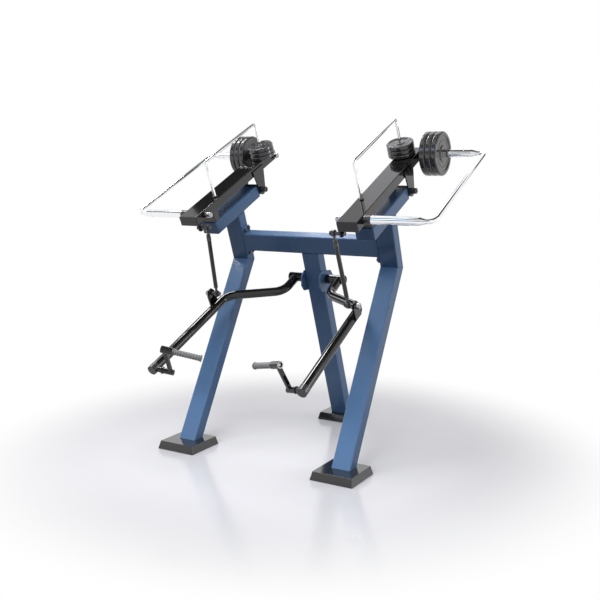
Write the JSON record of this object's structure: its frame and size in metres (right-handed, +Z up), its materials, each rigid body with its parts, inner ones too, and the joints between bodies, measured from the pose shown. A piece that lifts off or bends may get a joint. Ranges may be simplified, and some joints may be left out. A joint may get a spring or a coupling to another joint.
{
  "type": "standing biceps curl machine",
  "caption": "Standing biceps curl machine: blue three-legged steel frame, black lever boxes with chrome rails and iron weight discs, rods, bent arms and swivel grips.",
  "frame": {"origin": "centre of the bounding box's base, on the floor between the three shoes", "axes": "+X to the user's right as the user faces the machine, +Y away from the user towards the rear leg, +Z up"},
  "size_m": [2.0778, 1.6472, 2.0445],
  "materials": {
    "frame_blue": "semi-gloss",
    "black_paint": "gloss",
    "black_steel": "satin",
    "chrome": "polished",
    "disc_iron": "semi-gloss",
    "foot_rubber": "gloss",
    "bumper_rubber": "matte",
    "grip_rubber": "matte"
  },
  "bodies": {
    "frame": {"shoe_left": "foot_rubber", "shoe_right": "foot_rubber", "shoe_rear": "foot_rubber", "leg_left": "frame_blue", "leg_right": "frame_blue", "upright_left": "frame_blue", "upright_right": "frame_blue", "top_beam_left": "frame_blue", "top_beam_right": "frame_blue", "cross_beam": "frame_blue", "rear_leg": "frame_blue", "arm_axle": "frame_blue", "flange_left": "frame_blue", "flange_right": "frame_blue", "bumper_left": "bumper_rubber", "bumper_right": "bumper_rubber"},
    "lever_left": {"lever_box_left": "black_paint", "fork_inner_left": "black_paint", "fork_outer_left": "black_paint", "lever_pin_left": "black_steel", "rod_lug_left": "black_paint", "outer_rail_left": "chrome", "upper_rail_left": "chrome", "rod_bolt_upper_left": "black_steel"},
    "arm_left": {"arm_tube_left": "black_paint", "arm_hub_left": "black_paint", "arm_ear_left": "black_paint", "rod_bolt_lower_left": "black_steel", "handle_stub_left": "black_paint"},
    "link_left": {"handle_link_left": "black_paint"},
    "grip_left": {"grip_left": "grip_rubber"},
    "rod_left": {"rod_left": "black_paint"},
    "big_disc_3_left": {"big_disc_3_left": "disc_iron"},
    "small_disc_3_left": {"small_disc_3_left": "disc_iron"},
    "big_disc_2_left": {"big_disc_2_left": "disc_iron"},
    "small_disc_2_left": {"small_disc_2_left": "disc_iron"},
    "big_disc_1_left": {"big_disc_1_left": "disc_iron"},
    "small_disc_1_left": {"small_disc_1_left": "disc_iron"},
    "lever_right": {"lever_box_right": "black_paint", "fork_inner_right": "black_paint", "fork_outer_right": "black_paint", "lever_pin_right": "black_steel", "rod_lug_right": "black_paint", "outer_rail_right": "chrome", "upper_rail_right": "chrome", "rod_bolt_upper_right": "black_steel"},
    "arm_right": {"arm_tube_right": "black_paint", "arm_hub_right": "black_paint", "arm_ear_right": "black_paint", "rod_bolt_lower_right": "black_steel", "handle_stub_right": "black_paint"},
    "link_right": {"handle_link_right": "black_paint"},
    "grip_right": {"grip_right": "grip_rubber"},
    "rod_right": {"rod_right": "black_paint"},
    "big_disc_3_right": {"big_disc_3_right": "disc_iron"},
    "small_disc_3_right": {"small_disc_3_right": "disc_iron"},
    "big_disc_2_right": {"big_disc_2_right": "disc_iron"},
    "small_disc_2_right": {"small_disc_2_right": "disc_iron"},
    "big_disc_1_right": {"big_disc_1_right": "disc_iron"},
    "small_disc_1_right": {"small_disc_1_right": "disc_iron"}
  },
  "joints": [
    {"name": "arm_lift_left", "type": "hinge", "parent": "frame", "child": "arm_left", "pos_m": [0, 0.30029, 1.034], "axis": [-1, 0, 0], "range_deg": [0, 30]},
    {"name": "lever_tilt_left", "type": "hinge", "parent": "frame", "child": "lever_left", "pos_m": [0, 0.38762, 1.6043], "axis": [-1, 0, 0], "range_deg": [0, 18.5]},
    {"name": "rod_swing_left", "type": "hinge", "parent": "lever_left", "child": "rod_left", "pos_m": [-0.44, -0.2946, 1.37915], "axis": [-1, 0, 0], "range_deg": [-26.2, 0]},
    {"name": "handle_swivel_left", "type": "hinge", "parent": "arm_left", "child": "link_left", "pos_m": [-0.50632, -0.74562, 0.58164], "axis": [-0.9445, -0.2888, 0.1564], "range_deg": [-160, 45]},
    {"name": "grip_spin_left", "type": "hinge", "parent": "link_left", "child": "grip_left", "pos_m": [-0.38014, -0.7963, 0.71472], "axis": [-0.9053, -0.3731, 0.2031], "continuous": true},
    {"name": "big_slide_3_left", "type": "slide", "parent": "lever_left", "child": "big_disc_3_left", "axis": [-1, 0, 0], "range_m": [0, 0.12]},
    {"name": "small_slide_3_left", "type": "slide", "parent": "lever_left", "child": "small_disc_3_left", "axis": [0, -0.4274, 0.9041], "range_m": [0, 0.105]},
    {"name": "big_slide_2_left", "type": "slide", "parent": "lever_left", "child": "big_disc_2_left", "axis": [-1, 0, 0], "range_m": [0, 0.08]},
    {"name": "small_slide_2_left", "type": "slide", "parent": "lever_left", "child": "small_disc_2_left", "axis": [0, -0.4274, 0.9041], "range_m": [0, 0.07]},
    {"name": "big_slide_1_left", "type": "slide", "parent": "lever_left", "child": "big_disc_1_left", "axis": [-1, 0, 0], "range_m": [0, 0.04]},
    {"name": "small_slide_1_left", "type": "slide", "parent": "lever_left", "child": "small_disc_1_left", "axis": [0, -0.4274, 0.9041], "range_m": [0, 0.035]},
    {"name": "arm_lift_right", "type": "hinge", "parent": "frame", "child": "arm_right", "pos_m": [0, 0.30029, 1.034], "axis": [-1, 0, 0], "range_deg": [0, 30]},
    {"name": "lever_tilt_right", "type": "hinge", "parent": "frame", "child": "lever_right", "pos_m": [0, 0.38762, 1.6043], "axis": [-1, 0, 0], "range_deg": [0, 18.5]},
    {"name": "rod_swing_right", "type": "hinge", "parent": "lever_right", "child": "rod_right", "pos_m": [0.44, -0.2946, 1.37915], "axis": [-1, 0, 0], "range_deg": [-26.2, 0]},
    {"name": "handle_swivel_right", "type": "hinge", "parent": "arm_right", "child": "link_right", "pos_m": [0.50632, -0.74562, 0.58164], "axis": [-0.9445, 0.2888, -0.1564], "range_deg": [-160, 45]},
    {"name": "grip_spin_right", "type": "hinge", "parent": "link_right", "child": "grip_right", "pos_m": [0.38014, -0.7963, 0.71472], "axis": [-0.9053, 0.3731, -0.2031], "continuous": true},
    {"name": "big_slide_3_right", "type": "slide", "parent": "lever_right", "child": "big_disc_3_right", "axis": [1, 0, 0], "range_m": [0, 0.12]},
    {"name": "small_slide_3_right", "type": "slide", "parent": "lever_right", "child": "small_disc_3_right", "axis": [0, -0.4274, 0.9041], "range_m": [0, 0.105]},
    {"name": "big_slide_2_right", "type": "slide", "parent": "lever_right", "child": "big_disc_2_right", "axis": [1, 0, 0], "range_m": [0, 0.08]},
    {"name": "small_slide_2_right", "type": "slide", "parent": "lever_right", "child": "small_disc_2_right", "axis": [0, -0.4274, 0.9041], "range_m": [0, 0.07]},
    {"name": "big_slide_1_right", "type": "slide", "parent": "lever_right", "child": "big_disc_1_right", "axis": [1, 0, 0], "range_m": [0, 0.04]},
    {"name": "small_slide_1_right", "type": "slide", "parent": "lever_right", "child": "small_disc_1_right", "axis": [0, -0.4274, 0.9041], "range_m": [0, 0.035]}
  ],
  "couplings": [
    {"joint": "lever_tilt_left", "follows": "arm_lift_left", "ratio": 0.6144},
    {"joint": "rod_swing_left", "follows": "arm_lift_left", "ratio": -0.8653},
    {"joint": "big_slide_2_left", "follows": "big_slide_3_left", "ratio": 0.6666},
    {"joint": "small_slide_2_left", "follows": "small_slide_3_left", "ratio": 0.6666},
    {"joint": "big_slide_1_left", "follows": "big_slide_3_left", "ratio": 0.3333},
    {"joint": "small_slide_1_left", "follows": "small_slide_3_left", "ratio": 0.3333},
    {"joint": "lever_tilt_right", "follows": "arm_lift_right", "ratio": 0.6144},
    {"joint": "rod_swing_right", "follows": "arm_lift_right", "ratio": -0.8653},
    {"joint": "big_slide_2_right", "follows": "big_slide_3_right", "ratio": 0.6666},
    {"joint": "small_slide_2_right", "follows": "small_slide_3_right", "ratio": 0.6666},
    {"joint": "big_slide_1_right", "follows": "big_slide_3_right", "ratio": 0.3333},
    {"joint": "small_slide_1_right", "follows": "small_slide_3_right", "ratio": 0.3333}
  ]
}
